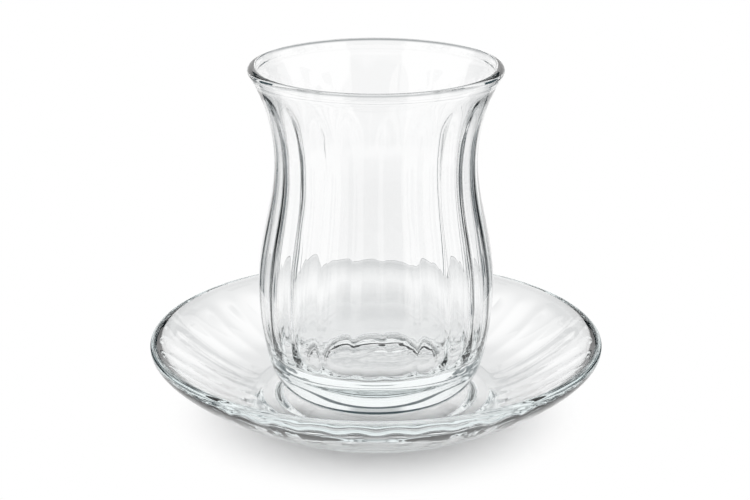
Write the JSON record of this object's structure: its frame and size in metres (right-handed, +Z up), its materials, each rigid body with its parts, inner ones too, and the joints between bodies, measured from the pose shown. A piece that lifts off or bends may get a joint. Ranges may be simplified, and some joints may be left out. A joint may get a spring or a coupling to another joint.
{
  "type": "tea glass with saucer",
  "caption": "Waisted clear tea glass with a flared rim, a heavy base and vertical inner flutes, standing in the flat well of a fluted clear glass saucer.",
  "frame": {"origin": "on the table, at the centre of the saucer's foot ring, under the common axis", "axes": "+Z up along the axis of the saucer and the glass"},
  "size_m": [0.12, 0.12, 0.095],
  "materials": {
    "clear_glass": "smooth, fire-polished"
  },
  "bodies": {
    "root": {"tea_glass": "clear_glass", "saucer": "clear_glass"}
  },
  "joints": []
}
